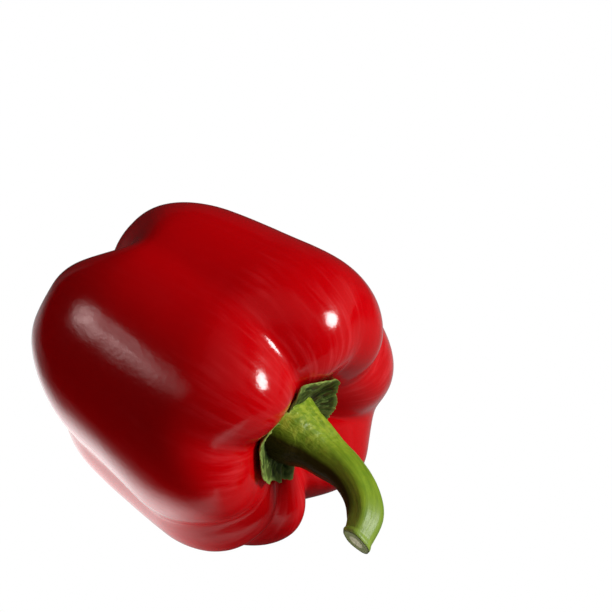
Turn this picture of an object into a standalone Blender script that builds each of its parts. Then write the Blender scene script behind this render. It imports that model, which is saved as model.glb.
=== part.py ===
"""A picked bell pepper lying on its side: the lobed fruit, the calyx and the curved stem.

The scene is in metres with +Z up, and the constants below are in millimetres and degrees.
The pepper's axis runs along its own +X, from the blossom end to the stem. An angle round
that axis starts at -Y and passes +Z at 90. A station says how far along the skin a point
is, from 0 at the middle of the blossom end to 180 at the middle of the stem end.
"""

import math
from collections import namedtuple

import bmesh
import bpy
from mathutils import Vector

MM = 0.001

Furrow = namedtuple("Furrow", "angle blossom_angle shoulder middle blossom")
Dent = namedtuple("Dent", "angle shoulder reach width")
Lobe = namedtuple("Lobe", "radius shoulder blossom")
Ring = namedtuple("Ring", "x y z radius")

# Four furrows run the whole length. Each has its angle and depth at either end.
FURROWS = (
    Furrow(78, 87, 7, 3, 9),
    Furrow(-31, -20, 8, 6, 5),
    Furrow(-94, -83, 9, 6, 8),
    Furrow(164, 143, 7, 3, 6),
)
FURROW_WIDTH = 40
# Between them the shoulders carry one shorter dent each.
DENTS = (
    Dent(26, 8, 38, 36),
    Dent(-60, 12, 62, 22),
    Dent(-154, 11, 38, 36),
    Dent(122, 4, 38, 36),
)
VALLEY_ROUNDING = 2

# One lobe lies between each furrow and the dent beside it, in falling order of angle.
LOBES = (
    Lobe(41, 50, 47),
    Lobe(44, 47, 49),
    Lobe(46.5, 53, 46),
    Lobe(46.5, 49.5, 46),
    Lobe(41, 46, 46),
    Lobe(45, 46, 48),
    Lobe(45, 48, 50),
    Lobe(43, 50, 48),
)
LOBE_CRISPNESS = 6
SHOULDER_SQUARENESS = 3.4
BLOSSOM_SQUARENESS = 3.6
TAPER_PER_MM = 0.0024

# The hollow that the stem stands in, and the shallow one at the blossom end.
STEM_HOLLOW_DEPTH = 18.5
STEM_HOLLOW_RADIUS = 22
STEM_HOLLOW_STEEPNESS = 2.6
BLOSSOM_HOLLOW_DEPTH = 7
BLOSSOM_HOLLOW_RADIUS = 13
SMOOTH_FLOOR_RADIUS = 9

# Where along the skin the furrows and dents are deepest, and how far the furrows reach.
SHOULDER_STATION = 140
SHOULDER_REACH = 34
BLOSSOM_STATION = 38
BLOSSOM_REACH = 30
DENT_STATION = 150
# They press the skin towards this height on the axis, and fade out close to it.
CORE_HEIGHT = 8
CORE_RADIUS = 12

CALYX_RADIUS = 15
CALYX_POINTS = 4
CALYX_POINT_LENGTH = 1.5
CALYX_THICKNESS = 1.6
CALYX_CLEARANCE = 0.6

# The stem flares where it leaves the calyx, and hooks down towards its cut end.
STEM_RINGS = (
    Ring(36.8, -1.8, 0.2, 9.2),
    Ring(41.0, -1.7, -0.1, 7.3),
    Ring(46.0, -1.9, -0.5, 6.1),
    Ring(54.0, -2.6, -0.7, 5.1),
    Ring(62.0, -5.4, -1.4, 4.8),
    Ring(68.0, -10.0, -2.7, 4.7),
    Ring(71.2, -16.5, -4.5, 4.2),
)

# The pepper leans until two lobes touch the ground, where it gets small flats.
LEAN_ROLL = -6.9
LEAN_PITCH = -4.2
FLAT_DEPTH = 0.4
CUTTER_SIDE = 240

FRUIT_SEGMENTS = 72
FRUIT_RINGS = 44
CALYX_SEGMENTS = 40
CALYX_RINGS = 12


def turn_between(start, end):
    """The shortest turn from one angle to another, between -180 and 180."""
    return (end - start + 180) % 360 - 180


def bell(offset):
    """1 at 0, falling smoothly to 0 at -1 and 1."""
    return 0.5 + 0.5 * math.cos(math.pi * min(abs(offset), 1))


def lobe_crests():
    """Each lobe's angle, midway between the furrow and the dent on its sides."""
    edges = [valley.angle for pair in zip(FURROWS, DENTS) for valley in pair]
    following = edges[1:] + edges[:1]
    return [edge + turn_between(edge, other) / 2 for edge, other in zip(edges, following)]


CRESTS = lobe_crests()


def lobe_at(angle):
    """The lobes' sizes at this angle, weighted by how close each crest is."""
    closeness = [math.cos(math.radians(angle - crest)) - 1 for crest in CRESTS]
    weights = [math.exp(LOBE_CRISPNESS * near) for near in closeness]
    sums = [sum(w * size for w, size in zip(weights, sizes)) for sizes in zip(*LOBES)]
    return Lobe(*(total / sum(weights) for total in sums))


def profile(lobe, station):
    """Distance from the axis and height along it, before the furrows are pressed in."""
    side = math.sin(math.radians(station))
    rise = -math.cos(math.radians(station))
    power = SHOULDER_SQUARENESS if rise > 0 else BLOSSOM_SQUARENESS
    length = lobe.shoulder if rise > 0 else lobe.blossom
    fullness = (side**power + abs(rise) ** power) ** (-1 / power)
    height = length * rise * fullness
    distance = lobe.radius * side * fullness * (1 + TAPER_PER_MM * height)
    if rise > 0:
        spread = (distance / STEM_HOLLOW_RADIUS) ** STEM_HOLLOW_STEEPNESS
        return distance, height - STEM_HOLLOW_DEPTH * math.exp(-spread)
    spread = (distance / BLOSSOM_HOLLOW_RADIUS) ** 2
    return distance, height + BLOSSOM_HOLLOW_DEPTH * math.exp(-spread)


def valley(offset, width):
    """The cross-section of a furrow or dent: 1 deep at its line, with full lobes beside it."""
    rounded = math.hypot(offset, VALLEY_ROUNDING) - VALLEY_ROUNDING
    return max(1 - rounded / width, 0) ** 2


def valley_depth(angle, station, distance):
    """How deep the furrows and dents press the skin in at this place."""
    near_shoulder = bell((station - SHOULDER_STATION) / SHOULDER_REACH)
    near_blossom = bell((station - BLOSSOM_STATION) / BLOSSOM_REACH)
    in_middle = math.sin(math.radians(station)) ** 0.7
    along = (station - BLOSSOM_STATION) / (SHOULDER_STATION - BLOSSOM_STATION)
    along = min(max(along, 0), 1)
    depth = 0
    for furrow in FURROWS:
        line = furrow.blossom_angle + (furrow.angle - furrow.blossom_angle) * along
        reach = furrow.shoulder * near_shoulder
        reach += furrow.blossom * near_blossom
        reach += furrow.middle * in_middle
        depth += reach * valley(turn_between(line, angle), FURROW_WIDTH)
    for dent in DENTS:
        reach = dent.shoulder * bell((station - DENT_STATION) / dent.reach)
        depth += reach * valley(turn_between(dent.angle, angle), dent.width)
    return depth / (1 + math.exp((SMOOTH_FLOOR_RADIUS - distance) / 1.6))


def skin_point(angle, station, lift=0):
    """A point of the fruit's skin, or this far from it towards the stem's tip, in metres."""
    distance, height = profile(lobe_at(angle), station)
    to_core = math.hypot(distance, height - CORE_HEIGHT)
    kept = 1 - math.exp(-((to_core / CORE_RADIUS) ** 2))
    shrink = kept * valley_depth(angle, station, distance) / to_core
    height += lift - shrink * (height - CORE_HEIGHT)
    distance -= shrink * distance
    turn = math.radians(angle)
    return MM * Vector((height, -distance * math.cos(turn), distance * math.sin(turn)))


def station_at(angle, distance):
    """The station on the stem hollow's wall that is this far from the axis."""
    lobe = lobe_at(angle)
    low, high = 120, 180
    for _ in range(30):
        middle = (low + high) / 2
        if profile(lobe, middle)[0] > distance:
            low = middle
        else:
            high = middle
    return low


def sphere_object(name, segments, rings, place):
    """A sphere whose vertices are moved by place(angle, station, towards the stem)."""
    mesh = bpy.data.meshes.new(name)
    shape = bmesh.new()
    bmesh.ops.create_uvsphere(shape, u_segments=segments, v_segments=rings, radius=1)
    for vertex in shape.verts:
        angle = math.degrees(math.atan2(vertex.co.y, vertex.co.x))
        station = math.degrees(math.acos(max(-1, min(1, -vertex.co.z))))
        vertex.co = place(angle, station, vertex.co.z)
    # The move swaps left and right, so the faces are turned to look outwards again.
    bmesh.ops.reverse_faces(shape, faces=shape.faces)
    shape.to_mesh(mesh)
    shape.free()
    mesh.shade_smooth()
    return bpy.data.objects.new(name, mesh)


def calyx_rim(angle):
    """The calyx's radius, with blunt points spaced evenly round it."""
    points = math.cos(math.radians(CALYX_POINTS * angle))
    return CALYX_RADIUS + CALYX_POINT_LENGTH * points


def calyx_point(angle, station, upward):
    """A sphere's point laid on the hollow's floor: its upper half outside, its rim at the calyx's."""
    spread = math.sin(math.radians(station))
    floor_station = station_at(angle, calyx_rim(angle) * spread)
    lift = CALYX_CLEARANCE + CALYX_THICKNESS * (1 + upward) / 2
    return skin_point(angle, floor_station, lift)


def make_fruit():
    return sphere_object(
        "fruit", FRUIT_SEGMENTS, FRUIT_RINGS, lambda angle, station, _: skin_point(angle, station)
    )


def make_calyx():
    return sphere_object("calyx", CALYX_SEGMENTS, CALYX_RINGS, calyx_point)


def make_stem():
    """A round tube through the rings, its ends capped."""
    curve = bpy.data.curves.new("stem", "CURVE")
    curve.dimensions = "3D"
    curve.bevel_depth = MM
    curve.bevel_resolution = 4
    curve.resolution_u = 5
    curve.use_fill_caps = True
    spline = curve.splines.new("BEZIER")
    spline.bezier_points.add(len(STEM_RINGS) - 1)
    for point, ring in zip(spline.bezier_points, STEM_RINGS):
        point.co = MM * Vector((ring.x, ring.y, ring.z))
        point.radius = ring.radius
        point.handle_left_type = "AUTO"
        point.handle_right_type = "AUTO"
    return bpy.data.objects.new("stem", curve)


def add_material(piece, colour, roughness):
    material = bpy.data.materials.new(piece.name)
    material.use_nodes = True
    shader = material.node_tree.nodes["Principled BSDF"]
    shader.inputs["Base Color"].default_value = (*colour, 1)
    shader.inputs["Roughness"].default_value = roughness
    shader.inputs["Metallic"].default_value = 0
    piece.data.materials.append(material)


def world_bounds(pieces):
    """The lowest and highest corner of all the pieces together."""
    graph = bpy.context.evaluated_depsgraph_get()
    corners = []
    for piece in pieces:
        evaluated = piece.evaluated_get(graph)
        mesh = evaluated.to_mesh()
        corners += [piece.matrix_world @ vertex.co for vertex in mesh.vertices]
        evaluated.to_mesh_clear()
    low = Vector([min(corner[axis] for corner in corners) for axis in range(3)])
    high = Vector([max(corner[axis] for corner in corners) for axis in range(3)])
    return low, high


def cut_flats(fruit, cutters):
    """Flattens the fruit where it touches the ground."""
    bpy.ops.mesh.primitive_cube_add(size=CUTTER_SIDE * MM)
    cutter = bpy.context.object
    cutter.name = "ground_cutter"
    cutter.location.z = -CUTTER_SIDE * MM / 2
    cutter.hide_render = True
    cutter.display_type = "WIRE"
    for collection in list(cutter.users_collection):
        collection.objects.unlink(cutter)
    cutters.objects.link(cutter)
    cut = fruit.modifiers.new("flats", "BOOLEAN")
    cut.operation = "DIFFERENCE"
    cut.solver = "EXACT"
    cut.object = cutter


def new_collection(name):
    collection = bpy.data.collections.new(name)
    bpy.context.scene.collection.children.link(collection)
    return collection


def main():
    for old in list(bpy.data.objects):
        bpy.data.objects.remove(old)
    parts = new_collection("bell_pepper")
    cutters = new_collection("cutters")
    lean = bpy.data.objects.new("lean", None)
    lean.rotation_euler = (math.radians(LEAN_ROLL), math.radians(LEAN_PITCH), 0)
    parts.objects.link(lean)
    fruit, calyx, stem = pieces = make_fruit(), make_calyx(), make_stem()
    for piece in pieces:
        parts.objects.link(piece)
        piece.parent = lean
    bpy.context.view_layer.update()
    low, high = world_bounds(pieces)
    middle = (low + high) / 2
    lean.location = (-middle.x, -middle.y, -low.z - FLAT_DEPTH * MM)
    add_material(fruit, (0.45, 0.006, 0.004), 0.2)
    add_material(calyx, (0.05, 0.09, 0.02), 0.6)
    add_material(stem, (0.16, 0.27, 0.03), 0.45)
    cut_flats(fruit, cutters)


main()
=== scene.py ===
"""A ripe red bell pepper lying on its side, with its leafy calyx and its hooked stem.

The shapes are worked out in millimetres and degrees in the pepper's own frame, and are leaned
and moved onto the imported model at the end. The pepper's axis is X there, from the blossom end
to the stem. An angle round the axis starts at -Y and passes +Z at 90. A station runs along
the skin from 0 at the middle of the blossom end to 180 at the middle of the stem end.
"""

import math
from collections import namedtuple

import bpy
from mathutils import Euler, Matrix, Vector


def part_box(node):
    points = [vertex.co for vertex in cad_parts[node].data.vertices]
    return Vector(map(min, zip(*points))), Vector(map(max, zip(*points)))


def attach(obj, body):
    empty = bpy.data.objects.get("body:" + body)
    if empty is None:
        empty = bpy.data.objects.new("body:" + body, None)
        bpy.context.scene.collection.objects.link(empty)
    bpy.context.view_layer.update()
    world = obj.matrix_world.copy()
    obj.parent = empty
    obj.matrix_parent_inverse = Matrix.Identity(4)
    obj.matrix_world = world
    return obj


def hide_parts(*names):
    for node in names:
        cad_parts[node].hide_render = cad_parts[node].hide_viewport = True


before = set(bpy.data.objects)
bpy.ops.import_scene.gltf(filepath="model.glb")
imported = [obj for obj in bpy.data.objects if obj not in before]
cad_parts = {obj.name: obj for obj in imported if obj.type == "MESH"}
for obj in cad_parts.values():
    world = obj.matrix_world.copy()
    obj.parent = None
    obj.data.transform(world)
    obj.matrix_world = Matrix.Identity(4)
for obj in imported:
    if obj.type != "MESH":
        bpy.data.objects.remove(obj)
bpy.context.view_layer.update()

MM = 0.001

Furrow = namedtuple("Furrow", "angle blossom_angle shoulder middle blossom")
Dent = namedtuple("Dent", "angle shoulder reach width")
Lobe = namedtuple("Lobe", "radius shoulder blossom")
Ring = namedtuple("Ring", "x y z radius")
Edge = namedtuple("Edge", "angle reach lift")
Lamp = namedtuple("Lamp", "azimuth elevation across along turn radiance")
Fade = namedtuple("Fade", "start end before after")

# The fruit: four furrows run its whole length, and the shoulders carry shorter dents.
FURROWS = (
    Furrow(78, 87, 7, 3, 9),
    Furrow(-31, -20, 8, 6, 5),
    Furrow(-94, -83, 9, 6, 8),
    Furrow(164, 143, 7, 3, 6),
)
DENTS = (Dent(26, 8, 38, 36), Dent(-60, 12, 62, 22), Dent(-154, 11, 38, 36), Dent(122, 4, 38, 36))
LOBES = (
    Lobe(41, 50, 47),
    Lobe(44, 47, 49),
    Lobe(46.5, 53, 46),
    Lobe(46.5, 49.5, 46),
    Lobe(41, 46, 46),
    Lobe(45, 46, 48),
    Lobe(45, 48, 50),
    Lobe(43, 50, 48),
)
LOBE_CRISPNESS = 6
TAPER_PER_MM = 0.0024
FURROW_WIDTH = 40
VALLEY_ROUNDING = 4
SHOULDER_STATION, SHOULDER_REACH = 140, 34
BLOSSOM_STATION, BLOSSOM_REACH = 38, 30
DENT_STATION = 150
SMOOTH_FLOOR_RADIUS = 9
SMOOTH_FLOOR_EDGE = 1.6
CORE_HEIGHT, CORE_RADIUS = 8, 12
SKIN_RADIUS = 44
FRUIT_SIZES = {
    "Segments": 400,
    "Rings": 246,
    "Shoulder squareness": 3.4,
    "Blossom squareness": 3.6,
    "Stem hollow depth": 18.5,
    "Stem hollow radius": 22.0,
    "Stem hollow steepness": 2.6,
    "Blossom hollow depth": 7.0,
    "Blossom hollow radius": 13.0,
    "Waviness": 0.35,
    "Wave length": 22.0,
}

# The calyx: how far its torn edge reaches round the stem, and how far it stands off the skin.
CALYX_EDGES = (
    Edge(-180, 14.8, 0.8),
    Edge(-166, 15.0, 0.8),
    Edge(-150, 15.4, 0.9),
    Edge(-141, 12.4, 0.3),
    Edge(-118, 15.6, 0.8),
    Edge(-102, 12.0, 0.3),
    Edge(-86, 10.6, 0.2),
    Edge(-76, 12.0, 0.8),
    Edge(-66, 14.8, 1.2),
    Edge(-50, 14.6, 1.0),
    Edge(-34, 14.8, 1.2),
    Edge(-18, 17.2, 1.4),
    Edge(-4, 19.5, 1.6),
    Edge(10, 21.5, 1.6),
    Edge(24, 21.5, 1.2),
    Edge(38, 15.0, 0.3),
    Edge(56, 11.0, 0.3),
    Edge(70, 13.5, 0.4),
    Edge(80, 22.6, 0.5),
    Edge(92, 21.8, 0.6),
    Edge(112, 18.6, 0.8),
    Edge(132, 17.2, 1.0),
    Edge(142, 15.4, 1.2),
    Edge(152, 14.8, 1.2),
    Edge(166, 14.6, 1.0),
    Edge(180, 14.8, 0.8),
)
CALYX_REACH_RANGE = 24
CALYX_LIFT_RANGE = 4
CALYX_SIZES = {
    "Segments": 320,
    "Rings": 120,
    "Thickness": 0.9,
    "Clearance": 0.35,
    "Raggedness": 0.9,
    "Wrinkle height": 0.7,
    "Vein height": 0.45,
    "Tears per mm": 0.9,
    "Wrinkles per mm": 0.3,
    "Veins per mm": 0.7,
    "Seed": 3.0,
}
# Its tears and wrinkles are noises on rings of these radii, and it drops from above the fruit.
CALYX_RIM_RADIUS = 5
CALYX_FAN_RADIUS = 9
ABOVE_FRUIT = 80

# The stem: rings along its bend, from the collar on the calyx to the cut end.
STEM_RINGS = (
    Ring(32.4, -2.5, 0.9, 10.2),
    Ring(36.2, -2.3, 0.7, 8.8),
    Ring(40.5, -1.8, 0.2, 7.3),
    Ring(46.0, -1.9, -0.5, 6.1),
    Ring(54.0, -2.6, -0.7, 5.1),
    Ring(62.0, -5.4, -1.4, 4.8),
    Ring(68.0, -10.0, -2.7, 4.7),
    Ring(71.0, -16.7, -4.5, 3.9),
)
STEPS_PER_RING = 10
STEM_SHADED_SIDE = (-0.15, -0.78, -0.6)
CUT_FACING = (0.02, -0.96, -0.27)
STEM_SIZES = {
    "Around": 128,
    "Along": 240,
    "Across": 18,
    "Ribs": 5.0,
    "Rib height": 0.3,
    "Rib turn": 0.8,
    "Cut start": 0.84,
    "Groove height": 0.22,
    "Wrinkle height": 0.3,
    "Lip height": 0.35,
    "Pith depth": 0.45,
    "Grooves per mm": 0.7,
    "Wrinkles per mm": 0.45,
    "Seed": 8.0,
}
STEM_FIBRE_RADIUS = 5
STEM_FIBRE_LENGTH = 50

# The pepper leans until two lobes touch the ground.
LEAN_ROLL = -6.9
LEAN_PITCH = -4.2

# The camera looks down on the stem end, and its picture's middle is beside the pepper.
CAMERA_AZIMUTH = 46.01
CAMERA_ELEVATION = 48.41
CAMERA_ROLL = -2.71
CAMERA_DISTANCE = 0.7234
CAMERA_RIGHT = 0.0283
CAMERA_UP = 0.01444
CAMERA_LENS = 153.36

# The studio: a round key lamp and a long panel a metre away, with their angles in degrees.
LAMP_DISTANCE = 1.0
KEY_LAMP = Lamp(131.5, 37.5, 21, 21, 0, 30)
LONG_PANEL = Lamp(-47.5, 31, 20, 56, -53, 6.5)
PANEL_COLOUR = (1, 0.74, 0.72, 1)
PANEL_CLOUDS_PER_METRE = 11
PANEL_CLOUDS = Fade(0.4, 0.6, 0.1, 1.3)
PANEL_END_GLOW = (1.55, 0.5)
PANEL_EDGE_STARTS = (0.1, 0.3)

# The room is dark but for a faint ceiling and the wall behind the key lamp.
CEILING = Fade(0.85, 0.97, 0.006, 0.12)
WALL_WAY = (0.5, 0.87, 0)
WALL = Fade(0.7, 0.95, 0, 0.25)
ROOM_FILL = Fade(0, 1, 0, 0.19)

# The floor's glow in metres: where it starts and stops changing, and its strength at both.
FLOOR_SIDE = 4.0
FRONT_SLANT = 0.33
SHEET_FRONT = Fade(-0.14, -0.08, 0, 1)
SHEET_BACK = Fade(0.06, 0.17, 1, 0.08)
SHEET_LEFT = Fade(-0.13, -0.04, 0.5, 1)
SHEET_RIGHT = Fade(0, 0.035, 1, 0.35)
SHADE_MIDDLE = (0.032, -0.012, 0)
SHADE_EDGE = Fade(0.02, 0.05, 0.15, 1)
BAND_MIDDLE, BAND_REACH = -0.065, 0.045
BAND_GLOW, PLAIN_GLOW = 1.7, 0.45
SIDE_MIDDLE = (-0.17, -0.06, 0)
SIDE_REACH = 0.07
SIDE_GLOW = 0.2
FLOOR_FILL, FAR_FILL = 1.1, 0.1
WHITE = (1, 1, 1, 1)


def add(tree, kind, *values, out=0, **settings):
    """Adds a node with its settings, feeds its inputs in order and returns one of its outputs.

    None leaves an input as it is. A kind in capitals is the operation of a math node.
    """
    if kind.isupper():
        kind, settings["operation"] = "ShaderNodeMath", kind
    node = tree.nodes.new(kind)
    for name, value in settings.items():
        setattr(node, name, value)
    for socket, value in zip([s for s in node.inputs if s.enabled], values):
        if isinstance(value, bpy.types.NodeSocket):
            tree.links.new(value, socket)
        elif value is not None:
            socket.default_value = value
    return [s for s in node.outputs if s.enabled][out]


def new_tree(name, sizes):
    """A geometry tree with a named input for each size, and their sockets inside it."""
    tree = bpy.data.node_groups.new(name, "GeometryNodeTree")
    tree.interface.new_socket("Geometry", in_out="OUTPUT", socket_type="NodeSocketGeometry")
    for size, value in sizes.items():
        kind = "NodeSocketInt" if isinstance(value, int) else "NodeSocketFloat"
        if isinstance(value, bpy.types.Object):
            kind = "NodeSocketObject"
        tree.interface.new_socket(size, in_out="INPUT", socket_type=kind)
    inside = tree.nodes.new("NodeGroupInput")
    return tree, {socket.name: socket for socket in inside.outputs if socket.name}


def grow(name, tree, shape, sizes, finish):
    """Ends the tree, runs it with these sizes and returns the result as a plain mesh piece."""
    whole = add(tree, "GeometryNodeSetShadeSmooth", shape)
    whole = add(tree, "GeometryNodeRealizeInstances", whole)
    whole = add(tree, "GeometryNodeSetMaterial", whole, None, finish)
    tree.links.new(whole, tree.nodes.new("NodeGroupOutput").inputs[0])
    source = bpy.data.objects.new(name, bpy.data.meshes.new(name))
    bpy.context.scene.collection.objects.link(source)
    modifier = source.modifiers.new(name, "NODES")
    modifier.node_group = tree
    for item in tree.interface.items_tree:
        if item.in_out == "INPUT":
            modifier[item.identifier] = sizes[item.name]
    graph = bpy.context.evaluated_depsgraph_get()
    result = source.evaluated_get(graph)
    mesh = bpy.data.meshes.new_from_object(result, preserve_all_data_layers=True, depsgraph=graph)
    source.modifiers.remove(modifier)
    source.data = mesh
    return source


def sphere_fields(tree, segments, rings):
    """A ball, and for each of its points the angle round its axis, its rise and its side."""
    ball = add(tree, "GeometryNodeMeshUVSphere", segments, rings, 1)
    where = add(tree, "GeometryNodeInputPosition")
    x = add(tree, "ShaderNodeSeparateXYZ", where, out=0)
    y = add(tree, "ShaderNodeSeparateXYZ", where, out=1)
    rise = add(tree, "ShaderNodeSeparateXYZ", where, out=2)
    angle = add(tree, "DEGREES", add(tree, "ARCTAN2", y, x))
    side = add(tree, "SQRT", add(tree, "ADD", add(tree, "POWER", x, 2), add(tree, "POWER", y, 2)))
    return ball, angle, rise, side


def around_axis(tree, angle, distance, height):
    """The point at this angle and distance from the pepper's axis, and this far along it."""
    turn = add(tree, "RADIANS", angle)
    backward = add(tree, "MULTIPLY", distance, add(tree, "COSINE", turn))
    upward = add(tree, "MULTIPLY", distance, add(tree, "SINE", turn))
    return add(
        tree, "ShaderNodeCombineXYZ", height, add(tree, "MULTIPLY", backward, -1), upward
    )


def bell(tree, value, middle, reach):
    """1 where the value is at the middle, falling smoothly to 0 at this reach from it."""
    offset = add(tree, "ABSOLUTE", add(tree, "SUBTRACT", value, middle))
    return add(
        tree, "ShaderNodeMapRange", offset, 0, reach, 1, 0, interpolation_type="SMOOTHSTEP"
    )


def cosine_bell(tree, value, middle, reach):
    """The same as the part's own bell: half a wave of a cosine on each side of the middle."""
    offset = add(tree, "DIVIDE", add(tree, "SUBTRACT", value, middle), reach)
    offset = add(tree, "MINIMUM", add(tree, "ABSOLUTE", offset), 1)
    wave = add(tree, "COSINE", add(tree, "MULTIPLY", offset, math.pi))
    return add(tree, "MULTIPLY_ADD", wave, 0.5, 0.5)


def valley(tree, angle, line, width):
    """The cross-section of a furrow or dent: 1 deep at its line, with full lobes beside it."""
    offset = add(tree, "WRAP", add(tree, "SUBTRACT", angle, line), 180, -180)
    squares = add(tree, "MULTIPLY_ADD", offset, offset, VALLEY_ROUNDING**2)
    rounded = add(tree, "SUBTRACT", add(tree, "SQRT", squares), VALLEY_ROUNDING)
    wall = add(tree, "MULTIPLY_ADD", rounded, -1 / width, 1)
    return add(tree, "POWER", add(tree, "MAXIMUM", wall, 0), 2)


def turn_between(start, end):
    """The shortest turn from one angle to another, between -180 and 180."""
    return (end - start + 180) % 360 - 180


def lobe_crests():
    """Each lobe's angle, midway between the furrow and the dent on its sides."""
    edges = [valley_line.angle for pair in zip(FURROWS, DENTS) for valley_line in pair]
    following = edges[1:] + edges[:1]
    return [edge + turn_between(edge, other) / 2 for edge, other in zip(edges, following)]


def valley_depth(tree, angle, station, distance):
    """How deep the furrows and dents press the skin in at this place."""
    near_shoulder = cosine_bell(tree, station, SHOULDER_STATION, SHOULDER_REACH)
    near_blossom = cosine_bell(tree, station, BLOSSOM_STATION, BLOSSOM_REACH)
    in_middle = add(tree, "SINE", add(tree, "RADIANS", station))
    in_middle = add(tree, "POWER", in_middle, 0.7)
    depth = 0
    for furrow in FURROWS:
        line = add(
            tree, "ShaderNodeMapRange", station, BLOSSOM_STATION, SHOULDER_STATION,
            furrow.blossom_angle, furrow.angle,
        )
        reach = add(tree, "MULTIPLY", near_shoulder, furrow.shoulder)
        reach = add(tree, "MULTIPLY_ADD", near_blossom, furrow.blossom, reach)
        reach = add(tree, "MULTIPLY_ADD", in_middle, furrow.middle, reach)
        depth = add(tree, "MULTIPLY_ADD", reach, valley(tree, angle, line, FURROW_WIDTH), depth)
    for dent in DENTS:
        near_dent = cosine_bell(tree, station, DENT_STATION, dent.reach)
        reach = add(tree, "MULTIPLY", near_dent, dent.shoulder)
        shape = valley(tree, angle, dent.angle, dent.width)
        depth = add(tree, "MULTIPLY_ADD", reach, shape, depth)
    near_axis = add(tree, "SUBTRACT", SMOOTH_FLOOR_RADIUS, distance)
    near_axis = add(tree, "EXPONENT", add(tree, "DIVIDE", near_axis, SMOOTH_FLOOR_EDGE))
    return add(tree, "DIVIDE", depth, add(tree, "ADD", near_axis, 1))


def make_fruit(finish):
    """The lobed skin, closed at both ends, in the pepper's own frame."""
    tree, size = new_tree("lobed_fruit", FRUIT_SIZES)
    ball, angle, rise, side = sphere_fields(tree, size["Segments"], size["Rings"])
    station = add(tree, "DEGREES", add(tree, "ARCCOSINE", add(tree, "MULTIPLY", rise, -1)))
    total, sizes = 0, (0, 0, 0)
    for lobe, crest in zip(LOBES, lobe_crests()):
        near = add(tree, "COSINE", add(tree, "RADIANS", add(tree, "SUBTRACT", angle, crest)))
        weight = add(tree, "MULTIPLY_ADD", near, LOBE_CRISPNESS, -LOBE_CRISPNESS)
        weight = add(tree, "EXPONENT", weight)
        total = add(tree, "ADD", total, weight)
        sizes = add(
            tree, "ShaderNodeVectorMath", weight, tuple(lobe), sizes, operation="MULTIPLY_ADD"
        )
    share = add(tree, "DIVIDE", 1, total)
    sizes = add(tree, "ShaderNodeVectorMath", sizes, share, operation="MULTIPLY")
    radius = add(tree, "ShaderNodeSeparateXYZ", sizes, out=0)
    shoulder = add(tree, "ShaderNodeSeparateXYZ", sizes, out=1)
    blossom = add(tree, "ShaderNodeSeparateXYZ", sizes, out=2)
    upper = add(tree, "GREATER_THAN", rise, 0)
    squareness = (size["Blossom squareness"], size["Shoulder squareness"])
    power = add(tree, "ShaderNodeMix", upper, *squareness)
    length = add(tree, "ShaderNodeMix", upper, blossom, shoulder)
    fullness = add(tree, "POWER", add(tree, "ABSOLUTE", rise), power)
    fullness = add(tree, "ADD", fullness, add(tree, "POWER", side, power))
    fullness = add(tree, "POWER", fullness, add(tree, "DIVIDE", -1, power))
    height = add(tree, "MULTIPLY", add(tree, "MULTIPLY", length, rise), fullness)
    taper = add(tree, "MULTIPLY_ADD", height, TAPER_PER_MM, 1)
    distance = add(tree, "MULTIPLY", add(tree, "MULTIPLY", radius, side), fullness)
    distance = add(tree, "MULTIPLY", distance, taper)
    for end, mask, steepness in (
        ("Stem hollow", upper, size["Stem hollow steepness"]),
        ("Blossom hollow", add(tree, "SUBTRACT", upper, 1), 2),
    ):
        spread = add(tree, "DIVIDE", distance, size[end + " radius"])
        spread = add(tree, "MULTIPLY", add(tree, "POWER", spread, steepness), -1)
        hollow = add(tree, "MULTIPLY", add(tree, "EXPONENT", spread), size[end + " depth"])
        height = add(tree, "SUBTRACT", height, add(tree, "MULTIPLY", hollow, mask))
    above_core = add(tree, "SUBTRACT", height, CORE_HEIGHT)
    to_core = add(tree, "MULTIPLY", distance, distance)
    to_core = add(tree, "SQRT", add(tree, "MULTIPLY_ADD", above_core, above_core, to_core))
    kept = add(tree, "POWER", add(tree, "DIVIDE", to_core, CORE_RADIUS), 2)
    kept = add(tree, "SUBTRACT", 1, add(tree, "EXPONENT", add(tree, "MULTIPLY", kept, -1)))
    depth = add(tree, "MULTIPLY", kept, valley_depth(tree, angle, station, distance))
    # Slow swells of the skin break up the edges of what it reflects.
    place = around_axis(tree, angle, distance, height)
    swell = add(
        tree, "ShaderNodeTexNoise", place, add(tree, "DIVIDE", 1, size["Wave length"]), 2, 0.5
    )
    swell = add(tree, "MULTIPLY", add(tree, "SUBTRACT", swell, 0.5), size["Waviness"])
    depth = add(tree, "SUBTRACT", depth, swell)
    shrink = add(tree, "DIVIDE", depth, to_core)
    height = add(tree, "SUBTRACT", height, add(tree, "MULTIPLY", shrink, above_core))
    distance = add(tree, "SUBTRACT", distance, add(tree, "MULTIPLY", shrink, distance))
    grain = around_axis(
        tree, angle, SKIN_RADIUS, add(tree, "MULTIPLY", station, math.radians(SKIN_RADIUS))
    )
    skin = add(
        tree, "GeometryNodeStoreNamedAttribute", ball, None, "grain", grain,
        data_type="FLOAT_VECTOR",
    )
    place = around_axis(tree, angle, distance, height)
    skin = add(tree, "GeometryNodeSetPosition", skin, None, place)
    skin = add(tree, "GeometryNodeFlipFaces", skin)
    return grow("pepper_skin", tree, skin, FRUIT_SIZES, finish)


def draw_curve(output, points):
    """Gives a curve node a smooth curve through these points."""
    mapping = output.node.mapping
    line = mapping.curves[0].points
    for count, (across, up) in enumerate(points):
        point = line[count] if count < 2 else line.new(across, up)
        point.location = (across, up)
    for point in line:
        point.handle_type = "AUTO_CLAMPED"
    mapping.update()


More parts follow.
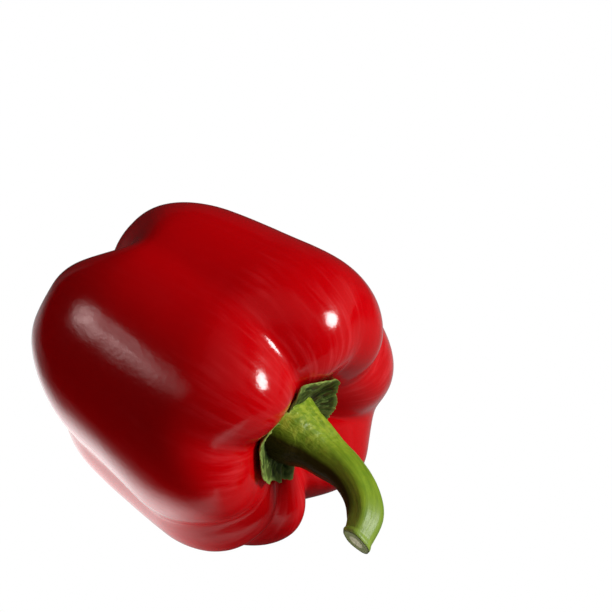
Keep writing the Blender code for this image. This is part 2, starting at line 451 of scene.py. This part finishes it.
def make_calyx(finish, fruit):
    """The torn green leaf round the stem, laid on the floor of the hollow."""
    sizes = {**CALYX_SIZES, "Fruit": fruit}
    tree, size = new_tree("calyx_leaf", sizes)
    ball, angle, rise, side = sphere_fields(tree, size["Segments"], size["Rings"])
    turn = add(tree, "ShaderNodeMapRange", angle, -180, 180, 0, 1)
    reach = add(tree, "ShaderNodeFloatCurve", None, turn)
    draw_curve(reach, [((e.angle + 180) / 360, e.reach / CALYX_REACH_RANGE) for e in CALYX_EDGES])
    lift = add(tree, "ShaderNodeFloatCurve", None, turn)
    draw_curve(lift, [((e.angle + 180) / 360, e.lift / CALYX_LIFT_RANGE) for e in CALYX_EDGES])
    rim = around_axis(tree, angle, CALYX_RIM_RADIUS, size["Seed"])
    torn = add(tree, "ShaderNodeTexNoise", rim, size["Tears per mm"], 3, 0.6)
    torn = add(tree, "MULTIPLY", add(tree, "SUBTRACT", torn, 0.5), size["Raggedness"])
    reach = add(tree, "MULTIPLY_ADD", reach, CALYX_REACH_RANGE, torn)
    distance = add(tree, "MULTIPLY", reach, side)
    flat = around_axis(tree, angle, distance, ABOVE_FRUIT)
    skin = add(tree, "GeometryNodeObjectInfo", size["Fruit"], out=4)
    floor = add(tree, "GeometryNodeRaycast", skin, None, flat, (-1, 0, 0), 200, out=1)
    floor = add(tree, "ShaderNodeSeparateXYZ", floor, out=0)
    upper = add(tree, "GREATER_THAN", rise, 0)
    half = add(tree, "POWER", add(tree, "ABSOLUTE", rise), 0.4)
    half = add(tree, "MULTIPLY", half, add(tree, "MULTIPLY_ADD", upper, 2, -1))
    half = add(tree, "MULTIPLY_ADD", half, 0.5, 0.5)
    height = add(tree, "MULTIPLY_ADD", half, size["Thickness"], size["Clearance"])
    height = add(tree, "ADD", height, floor)
    lift = add(tree, "MULTIPLY", lift, CALYX_LIFT_RANGE)
    height = add(tree, "MULTIPLY_ADD", lift, add(tree, "POWER", side, 5), height)
    # Wrinkles run outwards like those of a drying leaf, and veins stand between them.
    fan = add(tree, "MULTIPLY_ADD", distance, 0.25, size["Seed"])
    fan = around_axis(tree, angle, CALYX_FAN_RADIUS, fan)
    wrinkle = add(tree, "ShaderNodeTexNoise", fan, size["Wrinkles per mm"], 3, 0.55)
    wrinkle = add(tree, "SUBTRACT", wrinkle, 0.5)
    wrinkle = add(tree, "MULTIPLY", wrinkle, size["Wrinkle height"])
    outer = add(tree, "ShaderNodeMapRange", side, 0.45, 0.8, 0, 1)
    height = add(tree, "MULTIPLY_ADD", wrinkle, outer, height)
    vein = add(tree, "ShaderNodeTexNoise", fan, size["Veins per mm"], 2, 0.5)
    vein = add(tree, "ABSOLUTE", add(tree, "SUBTRACT", vein, 0.5))
    vein = add(tree, "ShaderNodeMapRange", vein, 0, 0.06, 1, 0)
    raised = add(tree, "MULTIPLY", add(tree, "MULTIPLY", vein, outer), size["Vein height"])
    raised = add(tree, "MULTIPLY", raised, upper)
    height = add(tree, "ADD", height, raised)
    leaf = add(
        tree, "GeometryNodeStoreNamedAttribute", ball, None, "leaf",
        add(tree, "ShaderNodeCombineXYZ", side, vein, distance), data_type="FLOAT_VECTOR",
    )
    leaf = add(
        tree, "GeometryNodeSetPosition", leaf, None, around_axis(tree, angle, distance, height)
    )
    leaf = add(tree, "GeometryNodeFlipFaces", leaf)
    return grow("calyx_leaf", tree, leaf, sizes, finish)


def stem_path():
    """A smooth line through the stem's rings that carries their radii."""
    curve = bpy.data.curves.new("stem_path", "CURVE")
    curve.dimensions = "3D"
    rows = [Vector(ring) for ring in STEM_RINGS]
    rows = [2 * rows[0] - rows[1]] + rows + [2 * rows[-1] - rows[-2]]
    points = []
    for before, start, end, after in zip(rows, rows[1:], rows[2:], rows[3:]):
        for step in range(STEPS_PER_RING):
            t = step / STEPS_PER_RING
            points.append(
                start
                + (end - before) * (t / 2)
                + (2 * before - 5 * start + 4 * end - after) * (t * t / 2)
                + (3 * start - before - 3 * end + after) * (t**3 / 2)
            )
    points.append(rows[-2])
    spline = curve.splines.new("POLY")
    spline.points.add(len(points) - 1)
    for place, point in zip(spline.points, points):
        place.co = (*point[:3], 1)
        place.radius = point[3]
    path = bpy.data.objects.new("stem_path", curve)
    bpy.context.scene.collection.objects.link(path)
    return path


def along_path(tree, path, along):
    """The path's radius, place, direction and two sideways directions, this far along it."""
    bend = add(tree, "GeometryNodeObjectInfo", path, out=4)
    sample = (bend, add(tree, "GeometryNodeInputRadius"), along)
    radius, middle, tangent, normal = (
        add(tree, "GeometryNodeSampleCurve", *sample, mode="FACTOR", out=out) for out in range(4)
    )
    other = add(tree, "ShaderNodeVectorMath", tangent, normal, operation="CROSS_PRODUCT")
    return radius, middle, tangent, normal, other


def rind_relief(tree, size, turn, along, ring):
    """How far the ribs, grooves, wrinkles and the lip at the cut stand off a plain round stem."""
    twist = add(tree, "MULTIPLY", along, size["Rib turn"])
    ribs = add(tree, "COSINE", add(tree, "MULTIPLY_ADD", turn, size["Ribs"], twist))
    ribs = add(tree, "MULTIPLY", ribs, size["Rib height"])
    ribs = add(tree, "MULTIPLY", ribs, add(tree, "ShaderNodeMapRange", along, 0.85, 1, 1, 0.3))
    long_ring = add(tree, "ShaderNodeVectorMath", ring, (1, 1, 0.08), operation="MULTIPLY")
    groove = add(tree, "ShaderNodeTexNoise", long_ring, size["Grooves per mm"], 3, 0.55)
    groove = add(tree, "MULTIPLY", add(tree, "SUBTRACT", groove, 0.5), size["Groove height"])
    wrinkle = add(tree, "ShaderNodeTexNoise", ring, size["Wrinkles per mm"], 3, 0.6, None, 0.6)
    wrinkle = add(tree, "MULTIPLY", add(tree, "SUBTRACT", wrinkle, 0.5), size["Wrinkle height"])
    near_flare = add(tree, "ShaderNodeMapRange", along, 0.1, 0.6, 1, 0.25)
    wrinkle = add(tree, "MULTIPLY", wrinkle, near_flare)
    lip = add(tree, "MULTIPLY", bell(tree, along, 0.985, 0.03), size["Lip height"])
    return add(tree, "ADD", add(tree, "ADD", ribs, groove), add(tree, "ADD", wrinkle, lip))


def make_stem(finish):
    """The ribbed stem: flared on the calyx, hooked, and cut across at its tip."""
    path = stem_path()
    sizes = {**STEM_SIZES, "Path": path}
    tree, size = new_tree("hooked_stem", sizes)
    rod = add(
        tree, "GeometryNodeMeshCylinder", size["Around"], size["Along"], size["Across"], 1, 1,
        fill_type="TRIANGLE_FAN",
    )
    where = add(tree, "GeometryNodeInputPosition")
    x = add(tree, "ShaderNodeSeparateXYZ", where, out=0)
    y = add(tree, "ShaderNodeSeparateXYZ", where, out=1)
    along = add(tree, "ADD", add(tree, "ShaderNodeSeparateXYZ", where, out=2), 0.5)
    turn = add(tree, "ARCTAN2", y, x)
    across = add(tree, "SQRT", add(tree, "ADD", add(tree, "POWER", x, 2), add(tree, "POWER", y, 2)))
    radius, middle, tangent, normal, other = along_path(tree, size["Path"], along)
    round_x = add(tree, "COSINE", turn)
    round_y = add(tree, "SINE", turn)
    ring = add(
        tree, "ShaderNodeCombineXYZ", add(tree, "MULTIPLY", round_x, STEM_FIBRE_RADIUS),
        add(tree, "MULTIPLY", round_y, STEM_FIBRE_RADIUS),
        add(tree, "MULTIPLY_ADD", along, STEM_FIBRE_LENGTH, size["Seed"]),
    )
    radius = add(tree, "ADD", radius, rind_relief(tree, size, turn, along, ring))
    reach = add(tree, "MULTIPLY", radius, across)
    at_end = add(tree, "GREATER_THAN", along, 0.9999)
    # The cut face sinks inside its rim, and the pith in the middle stands up again.
    inside = add(tree, "ShaderNodeMapRange", across, 0.8, 1, 1, 0)
    pith = bell(tree, across, 0, 0.5)
    sunk = add(tree, "SUBTRACT", add(tree, "MULTIPLY", pith, 0.6), inside)
    sunk = add(tree, "MULTIPLY", add(tree, "MULTIPLY", sunk, size["Pith depth"]), at_end)
    place = add(tree, "ShaderNodeVectorMath", tangent, sunk, middle, operation="MULTIPLY_ADD")
    for direction, part in ((normal, round_x), (other, round_y)):
        step = add(tree, "MULTIPLY", reach, part)
        place = add(tree, "ShaderNodeVectorMath", direction, step, place, operation="MULTIPLY_ADD")
    arm = add(tree, "ShaderNodeVectorMath", place, middle, operation="SUBTRACT")
    outward = add(tree, "ShaderNodeVectorMath", arm, operation="NORMALIZE")
    shaded = add(tree, "ShaderNodeVectorMath", outward, STEM_SHADED_SIDE, operation="DOT_PRODUCT")
    # Towards the tip each ring tips over until it lies in the slanting cut.
    arm = add(tree, "ShaderNodeVectorMath", arm, CUT_FACING, operation="DOT_PRODUCT")
    facing = add(tree, "ShaderNodeVectorMath", tangent, CUT_FACING, operation="DOT_PRODUCT")
    slide = add(tree, "DIVIDE", arm, facing)
    near_cut = add(
        tree, "ShaderNodeMapRange", along, size["Cut start"], 1, 0, -1,
        interpolation_type="SMOOTHSTEP",
    )
    slide = add(tree, "MULTIPLY", slide, near_cut)
    place = add(tree, "ShaderNodeVectorMath", tangent, slide, place, operation="MULTIPLY_ADD")
    stem = rod
    for name, value in (
        ("fibre", ring),
        ("cut", add(tree, "ShaderNodeCombineXYZ", along, across, at_end)),
        ("shade", add(tree, "ShaderNodeCombineXYZ", shaded, 0, 0)),
    ):
        stem = add(
            tree, "GeometryNodeStoreNamedAttribute", stem, None, name, value,
            data_type="FLOAT_VECTOR",
        )
    stem = add(tree, "GeometryNodeSetPosition", stem, None, place)
    stem = grow("hooked_stem", tree, stem, sizes, finish)
    bpy.data.objects.remove(path)
    return stem


def linear(code):
    """An sRGB hex colour as the linear colour that a shader takes."""
    channels = [int(code[start : start + 2], 16) / 255 for start in (1, 3, 5)]
    return (*map(to_linear, channels), 1)


def to_linear(channel):
    """One sRGB channel, from 0 to 1, as linear light."""
    if channel <= 0.04045:
        return channel / 12.92
    return ((channel + 0.055) / 1.055) ** 2.4


def per_metre(size):
    """How many cells of a pattern fit in a metre, for cells this many millimetres wide."""
    return 1 / (size * MM)


def new_finish(name, constants):
    """A material with these constants on its shader, and its tree and shader."""
    finish = bpy.data.materials.new(name)
    finish.use_nodes = True
    shader = finish.node_tree.nodes["Principled BSDF"]
    for socket, value in constants.items():
        shader.inputs[socket].default_value = value
    return finish, finish.node_tree, shader


def skin_finish():
    """Ripe pepper skin: a clear waxy film on tight flesh, so it looks wet and deep in colour."""
    finish, tree, shader = new_finish(
        "waxy_pepper_skin",
        {
            "IOR": 1.45,
            "Subsurface Weight": 0.12,
            "Subsurface Radius": (1.0, 0.15, 0.08),
            "Subsurface Scale": 0.003,
        },
    )
    grain = add(tree, "ShaderNodeAttribute", attribute_name="grain", out=1)
    spot = add(tree, "ShaderNodeTexCoord", out=3)
    # Faint streaks 1.8 mm wide and 15 mm long run from stem to blossom end, in 26 mm drifts.
    wander = add(tree, "ShaderNodeTexNoise", grain, 1 / 20, 2, 0.5, out=1)
    bent = add(tree, "ShaderNodeVectorMath", wander, (0, 4, 4), grain, operation="MULTIPLY_ADD")
    stretched = add(tree, "ShaderNodeVectorMath", bent, (0.12, 1, 1), operation="MULTIPLY")
    streak = add(tree, "ShaderNodeTexNoise", stretched, 1 / 1.818, 3, 0.55)
    streak = add(tree, "ShaderNodeMapRange", streak, 0.44, 0.7, 0, 1)
    drift = add(tree, "ShaderNodeTexNoise", spot, per_metre(26.3), 3, 0.55)
    drift = add(tree, "ShaderNodeMapRange", drift, 0.42, 0.62, 0.08, 1)
    # They are strongest on the shoulders, 110 mm along the skin, and nearly gone by 65 mm.
    station = add(tree, "ShaderNodeSeparateXYZ", grain, out=0)
    shoulder = add(tree, "ShaderNodeMapRange", station, 65, 110, 0.1, 1)
    streak = add(tree, "MULTIPLY", add(tree, "MULTIPLY", streak, drift), shoulder)
    depth = add(tree, "ShaderNodeTexNoise", spot, per_metre(33.3), 2, 0.5)
    colour = add(
        tree, "ShaderNodeMix", depth, linear("#B80005"), linear("#CA0008"), data_type="RGBA"
    )
    tint = add(tree, "MULTIPLY", streak, 0.45)
    colour = add(tree, "ShaderNodeMix", tint, colour, linear("#DE3338"), data_type="RGBA")
    tree.links.new(colour, shader.inputs["Base Color"])
    rough = add(tree, "ShaderNodeMapRange", streak, 0, 0.6, 0.13, 0.24)
    tree.links.new(rough, shader.inputs["Roughness"])
    # Shallow ripples 4 mm wide and pores 1.4 mm wide mottle the soft reflections.
    ripple = add(tree, "ShaderNodeTexNoise", stretched, 1 / 4, 3, 0.55)
    pores = add(tree, "ShaderNodeTexNoise", spot, per_metre(1.43), 3, 0.6)
    ripple = add(tree, "MULTIPLY_ADD", pores, 1.5, ripple)
    bump = add(tree, "ShaderNodeBump", 0.14, 0.0002, None, ripple)
    tree.links.new(bump, shader.inputs["Normal"])
    return finish


def calyx_finish():
    """A drying calyx leaf: matt, dark and wrinkled, paler along its veins, with painted shade
    towards the stem and a torn edge that is pale partly as a dry rim and partly as a painted
    highlight.
    """
    finish, tree, shader = new_finish("drying_calyx_leaf", {"IOR": 1.4})
    leaf = add(tree, "ShaderNodeAttribute", attribute_name="leaf", out=1)
    side = add(tree, "ShaderNodeSeparateXYZ", leaf, out=0)
    vein = add(tree, "ShaderNodeSeparateXYZ", leaf, out=1)
    spot = add(tree, "ShaderNodeTexCoord", out=3)
    blotch = add(tree, "ShaderNodeTexNoise", spot, per_metre(3.85), 4, 0.6)
    blotch = add(tree, "ShaderNodeMapRange", blotch, 0.35, 0.65, 0, 1)
    colour = add(
        tree, "ShaderNodeMix", blotch, linear("#1F2A0C"), linear("#54701F"), data_type="RGBA"
    )
    # Painted shade darkens the leaf towards the stem, down in the hollow. The veins are a pale
    # green, and the rim is pale partly as a dry edge and partly as a painted highlight where it
    # turns up.
    deep = add(tree, "ShaderNodeMapRange", side, 0.6, 0.92, 0.8, 0)
    colour = add(tree, "ShaderNodeMix", deep, colour, linear("#0E1405"), data_type="RGBA")
    ridge = add(tree, "MULTIPLY", vein, 0.65)
    colour = add(tree, "ShaderNodeMix", ridge, colour, linear("#8A9F4E"), data_type="RGBA")
    # Partly painted highlight: the rim is lightened where it turns up towards the light.
    edge = add(tree, "ShaderNodeMapRange", side, 0.93, 1, 0, 0.8)
    colour = add(tree, "ShaderNodeMix", edge, colour, linear("#8FA850"), data_type="RGBA")
    tree.links.new(colour, shader.inputs["Base Color"])
    rough = add(tree, "ShaderNodeMapRange", blotch, 0, 1, 0.45, 0.62)
    tree.links.new(rough, shader.inputs["Roughness"])
    crease = add(tree, "ShaderNodeTexNoise", spot, per_metre(1.11), 4, 0.6)
    bump = add(tree, "ShaderNodeBump", 0.7, 0.0003, None, crease)
    tree.links.new(bump, shader.inputs["Normal"])
    return finish


def stem_finish():
    """A fresh pepper stem: smooth green rind with long fibres, and a pale pith at its cut."""
    finish, tree, shader = new_finish("fresh_green_stem", {"IOR": 1.45})
    fibre = add(tree, "ShaderNodeAttribute", attribute_name="fibre", out=1)
    cut = add(tree, "ShaderNodeAttribute", attribute_name="cut", out=1)
    along = add(tree, "ShaderNodeSeparateXYZ", cut, out=0)
    across = add(tree, "ShaderNodeSeparateXYZ", cut, out=1)
    at_end = add(tree, "ShaderNodeSeparateXYZ", cut, out=2)
    # Fibres are 1.1 mm wide and 11 mm long, and blotches 4 mm wide lie over them.
    stretched = add(tree, "ShaderNodeVectorMath", fibre, (1, 1, 0.1), operation="MULTIPLY")
    strand = add(tree, "ShaderNodeTexNoise", stretched, 1 / 1.11, 4, 0.6)
    strand = add(tree, "ShaderNodeMapRange", strand, 0.35, 0.65, 0, 1)
    colour = add(
        tree, "ShaderNodeMix", strand, linear("#647F10"), linear("#86A022"), data_type="RGBA"
    )
    blotch = add(tree, "ShaderNodeTexNoise", fibre, 1 / 4, 3, 0.6)
    blotch = add(tree, "ShaderNodeMapRange", blotch, 0.45, 0.7, 0, 0.5)
    colour = add(tree, "ShaderNodeMix", blotch, colour, linear("#5F8418"), data_type="RGBA")
    # Painted shade: the stem's lower side, turned towards the pepper and the floor, is mixed
    # towards a darker, browner green.
    shaded = add(tree, "ShaderNodeAttribute", attribute_name="shade", out=1)
    shaded = add(tree, "ShaderNodeSeparateXYZ", shaded, out=0)
    shaded = add(tree, "ShaderNodeMapRange", shaded, 0.05, 0.4, 0, 0.96)
    colour = add(tree, "ShaderNodeMix", shaded, colour, linear("#2A1A05"), data_type="RGBA")
    # Painted highlight: yellow-green patches 1.7 mm wide on the flare's upper side, away from the
    # painted shade, stand in for the lamp's glints on its wrinkles.
    fresh = add(tree, "ShaderNodeMapRange", along, 0.1, 0.45, 0.75, 0)
    patch = add(tree, "ShaderNodeTexNoise", fibre, 1 / 1.667, 3, 0.6)
    fresh = add(tree, "MULTIPLY", fresh, add(tree, "ShaderNodeMapRange", patch, 0.45, 0.6, 0, 1))
    fresh = add(tree, "MULTIPLY", fresh, add(tree, "ShaderNodeMapRange", shaded, 0, 0.3, 1, 0))
    colour = add(tree, "ShaderNodeMix", fresh, colour, linear("#A6B538"), data_type="RGBA")
    tip = add(tree, "ShaderNodeMapRange", along, 0.75, 1, 0, 0.35)
    colour = add(tree, "ShaderNodeMix", tip, colour, linear("#8FA64E"), data_type="RGBA")
    # The cut shows pale flesh inside a dark rim, and a paler oval of pith in its middle.
    rim = add(tree, "ShaderNodeMapRange", across, 0.86, 0.98, 0, 1)
    flesh = add(
        tree, "ShaderNodeMix", rim, linear("#8C9460"), linear("#54592C"), data_type="RGBA"
    )
    pith = add(tree, "ShaderNodeMapRange", across, 0.42, 0.55, 1, 0)
    flesh = add(tree, "ShaderNodeMix", pith, flesh, linear("#D5D2AE"), data_type="RGBA")
    colour = add(tree, "ShaderNodeMix", at_end, colour, flesh, data_type="RGBA")
    tree.links.new(colour, shader.inputs["Base Color"])
    rough = add(tree, "ShaderNodeMix", at_end, 0.42, 0.7)
    tree.links.new(rough, shader.inputs["Roughness"])
    # The side with painted shade also gets a lower specular level.
    shine = add(tree, "ShaderNodeMapRange", shaded, 0, 0.9, 0.5, 0.1)
    tree.links.new(shine, shader.inputs["Specular IOR Level"])
    # The rind is wrinkled on the flare and nearly smooth from there to the tip.
    grain = add(tree, "ShaderNodeTexNoise", stretched, 1 / 0.5, 3, 0.6)
    crease = add(tree, "ShaderNodeVectorMath", fibre, (1, 1, 0.35), operation="MULTIPLY")
    crease = add(tree, "ShaderNodeTexNoise", crease, 1 / 0.909, 3, 0.6, None, 0.8)
    flare = add(tree, "ShaderNodeMapRange", along, 0.15, 0.4, 6, 0.3)
    grain = add(tree, "MULTIPLY_ADD", crease, flare, grain)
    bump = add(tree, "ShaderNodeBump", 0.4, 0.0002, None, grain)
    tree.links.new(bump, shader.inputs["Normal"])
    return finish


def corners(piece):
    """The lowest and highest corner of a piece's mesh."""
    spots = [vertex.co for vertex in piece.data.vertices]
    low = Vector([min(spot[axis] for spot in spots) for axis in range(3)])
    high = Vector([max(spot[axis] for spot in spots) for axis in range(3)])
    return low, high


def lay_down(fruit, pieces):
    """Leans the pieces together and lays the fruit on the ground, where its solid lies."""
    lean = Euler((math.radians(LEAN_ROLL), math.radians(LEAN_PITCH), 0)).to_matrix().to_4x4()
    for piece in pieces:
        piece.data.transform(lean @ Matrix.Scale(MM, 4))
    low, high = corners(fruit)
    cad_low, cad_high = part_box("fruit")
    step = (cad_low + cad_high - low - high) / 2
    step.z = cad_high.z - high.z
    for piece in pieces:
        piece.data.transform(Matrix.Translation(step))
    # The lobes that the pepper rests on are flat where they touch the ground.
    for vertex in fruit.data.vertices:
        vertex.co.z = max(vertex.co.z, cad_low.z)


def towards(azimuth, elevation):
    """The direction at this azimuth, from -Y towards +X, and elevation."""
    turn, climb = math.radians(azimuth), math.radians(elevation)
    level = math.cos(climb)
    return Vector((math.sin(turn) * level, -math.cos(turn) * level, math.sin(climb)))


def place_camera(middle):
    """The camera that looks down on the stem end, with the pepper at the left of its picture."""
    back = towards(CAMERA_AZIMUTH, CAMERA_ELEVATION)
    view = back.to_track_quat("Z", "Y").to_matrix().to_4x4()
    right, up = view.col[0].to_3d(), view.col[1].to_3d()
    aim = middle + right * CAMERA_RIGHT + up * CAMERA_UP
    data = bpy.data.cameras.new("camera")
    data.lens = CAMERA_LENS
    camera = bpy.data.objects.new("camera", data)
    camera.matrix_world = (
        Matrix.Translation(aim + back * CAMERA_DISTANCE)
        @ view
        @ Matrix.Rotation(math.radians(CAMERA_ROLL), 4, "Z")
    )
    bpy.context.scene.collection.objects.link(camera)
    bpy.context.scene.camera = camera


def half_sizes(lamp):
    """Half the width and half the length of a lamp or panel, in metres."""
    return [
        LAMP_DISTANCE * math.tan(math.radians(spread / 2)) for spread in (lamp.across, lamp.along)
    ]


def hang(name, data, lamp, middle):
    """A lamp or panel at its place round the middle, facing it."""
    away = towards(lamp.azimuth, lamp.elevation)
    hung = bpy.data.objects.new(name, data)
    hung.matrix_world = (
        Matrix.Translation(middle + away * LAMP_DISTANCE)
        @ away.to_track_quat("Z", "Y").to_matrix().to_4x4()
        @ Matrix.Rotation(math.radians(lamp.turn), 4, "Z")
    )
    bpy.context.scene.collection.objects.link(hung)
    return hung


def place_key_lamp(middle):
    """The round soft lamp, which is as bright per area as its radiance says."""
    across, along = half_sizes(KEY_LAMP)
    data = bpy.data.lights.new("key_lamp", "AREA")
    data.shape = "ELLIPSE"
    data.size = 2 * across
    data.size_y = 2 * along
    data.energy = KEY_LAMP.radiance * math.pi * across * along * math.pi
    hang("key_lamp", data, KEY_LAMP, middle)


def flat_mesh(name, across, along):
    """A flat sheet that reaches this far across and along on each side of its middle."""
    mesh = bpy.data.meshes.new(name)
    corner = [(-across, -along, 0), (across, -along, 0), (across, along, 0), (-across, along, 0)]
    mesh.from_pydata(corner, [], [(0, 1, 2, 3)])
    return mesh


def new_glow(name):
    """A material with an empty tree, for a surface that only gives light."""
    glow = bpy.data.materials.new(name)
    glow.use_nodes = True
    glow.node_tree.nodes.clear()
    return glow, glow.node_tree


def end_glow(tree, colour, strength):
    """Ends a glow's tree with light of this colour and strength."""
    shine = add(tree, "ShaderNodeEmission", colour, strength)
    tree.links.new(shine, tree.nodes.new("ShaderNodeOutputMaterial").inputs[0])


def panel_glow(across, along):
    """Light through thin cloth: cloudy, brightest near one end, and fading out at its edges."""
    glow, tree = new_glow("long_panel")
    spot = add(tree, "ShaderNodeTexCoord", out=3)
    cloud = add(tree, "ShaderNodeTexNoise", spot, PANEL_CLOUDS_PER_METRE, 3, 0.65)
    cloud = add(tree, "ShaderNodeMapRange", cloud, *PANEL_CLOUDS)
    near_end = add(tree, "ShaderNodeSeparateXYZ", spot, out=1)
    near_end = add(tree, "ShaderNodeMapRange", near_end, -0.6 * along, 0, *PANEL_END_GLOW)
    near_end = add(tree, "POWER", near_end, 2)
    strength = add(tree, "MULTIPLY", add(tree, "MULTIPLY", cloud, near_end), LONG_PANEL.radiance)
    for out, half, start in zip((0, 1), (across, along), PANEL_EDGE_STARTS):
        offset = add(tree, "ABSOLUTE", add(tree, "ShaderNodeSeparateXYZ", spot, out=out))
        fade = add(
            tree, "ShaderNodeMapRange", offset, start * half, half, 1, 0,
            interpolation_type="SMOOTHSTEP",
        )
        strength = add(tree, "MULTIPLY", strength, fade)
    end_glow(tree, PANEL_COLOUR, strength)
    return glow


def place_long_panel(middle):
    """A long soft panel, out of the picture, that the near lobe reflects as a pale strip."""
    across, along = half_sizes(LONG_PANEL)
    mesh = flat_mesh("long_panel", across, along)
    mesh.materials.append(panel_glow(across, along))
    screen = hang("long_panel", mesh, LONG_PANEL, middle)
    screen.visible_camera = False


def light_room():
    """A dim room that is white all round the picture, where only the camera sees it."""
    room = bpy.data.worlds.new("studio")
    room.use_nodes = True
    tree = room.node_tree
    tree.nodes.clear()
    way = add(tree, "ShaderNodeTexCoord")
    height = add(tree, "ShaderNodeSeparateXYZ", way, out=2)
    ceiling = add(tree, "ShaderNodeMapRange", height, *CEILING)
    wall = add(tree, "ShaderNodeVectorMath", way, WALL_WAY, operation="DOT_PRODUCT")
    wall = add(tree, "ShaderNodeMapRange", wall, *WALL)
    fill = add(tree, "ShaderNodeMapRange", height, *ROOM_FILL)
    to_camera = add(tree, "ShaderNodeLightPath")
    glossy = add(tree, "ShaderNodeLightPath", out=3)
    strength = add(tree, "ShaderNodeMix", glossy, fill, add(tree, "ADD", ceiling, wall))
    dim = add(tree, "ShaderNodeBackground", WHITE, strength)
    white = add(tree, "ShaderNodeBackground", WHITE, 1)
    both = add(tree, "ShaderNodeMixShader", to_camera, dim, white)
    tree.links.new(both, tree.nodes.new("ShaderNodeOutputWorld").inputs[0])
    bpy.context.scene.world = room


def sheet_glow():
    """A glowing white sheet. What shines off the skin is a patch of it under the pepper."""
    glow, tree = new_glow("glowing_white_sheet")
    spot = add(tree, "ShaderNodeTexCoord", out=3)
    x = add(tree, "ShaderNodeSeparateXYZ", spot, out=0)
    y = add(tree, "ShaderNodeSeparateXYZ", spot, out=1)
    front = add(tree, "MULTIPLY_ADD", x, FRONT_SLANT, y)
    patch = add(tree, "ShaderNodeMapRange", front, *SHEET_FRONT)
    for place, fade in ((add(tree, "SUBTRACT", y, x), SHEET_BACK), (x, SHEET_LEFT)):
        patch = add(tree, "MULTIPLY", patch, add(tree, "ShaderNodeMapRange", place, *fade))
    band = bell(tree, front, BAND_MIDDLE, BAND_REACH)
    patch = add(tree, "MULTIPLY", patch, add(tree, "MULTIPLY_ADD", band, BAND_GLOW, PLAIN_GLOW))
    shade = add(tree, "ShaderNodeVectorMath", spot, SHADE_MIDDLE, operation="DISTANCE")
    patch = add(tree, "MULTIPLY", patch, add(tree, "ShaderNodeMapRange", shade, *SHADE_EDGE))
    shine = add(tree, "MULTIPLY", patch, add(tree, "ShaderNodeMapRange", x, *SHEET_RIGHT))
    aside = add(tree, "ShaderNodeVectorMath", spot, SIDE_MIDDLE, operation="DISTANCE")
    aside = bell(tree, aside, 0, SIDE_REACH)
    shine = add(tree, "MULTIPLY_ADD", aside, SIDE_GLOW, shine)
    fill = add(tree, "MULTIPLY_ADD", patch, FLOOR_FILL, FAR_FILL)
    to_camera = add(tree, "ShaderNodeLightPath")
    glossy = add(tree, "ShaderNodeLightPath", out=3)
    strength = add(tree, "ShaderNodeMix", glossy, fill, shine)
    end_glow(tree, WHITE, add(tree, "ShaderNodeMix", to_camera, strength, 1))
    return glow


def lay_floor():
    """The white sheet that the pepper lies on."""
    mesh = flat_mesh("floor", FLOOR_SIDE / 2, FLOOR_SIDE / 2)
    mesh.materials.append(sheet_glow())
    floor = bpy.data.objects.new("floor", mesh)
    bpy.context.scene.collection.objects.link(floor)


def main():
    """Makes the three pieces, hands them over, and sets up the studio round them."""
    fruit = make_fruit(skin_finish())
    calyx = make_calyx(calyx_finish(), fruit)
    stem = make_stem(stem_finish())
    lay_down(fruit, (fruit, calyx, stem))
    for piece, node, slot in (
        (fruit, "fruit", "red_skin"),
        (calyx, "calyx", "green_calyx"),
        (stem, "stem", "green_stem"),
    ):
        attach(piece, "root")
        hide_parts(node)
    low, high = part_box("fruit")
    middle = (low + high) / 2
    bpy.context.scene.view_settings.view_transform = "Standard"
    place_camera(middle)
    place_key_lamp(middle)
    place_long_panel(middle)
    light_room()
    lay_floor()


main()
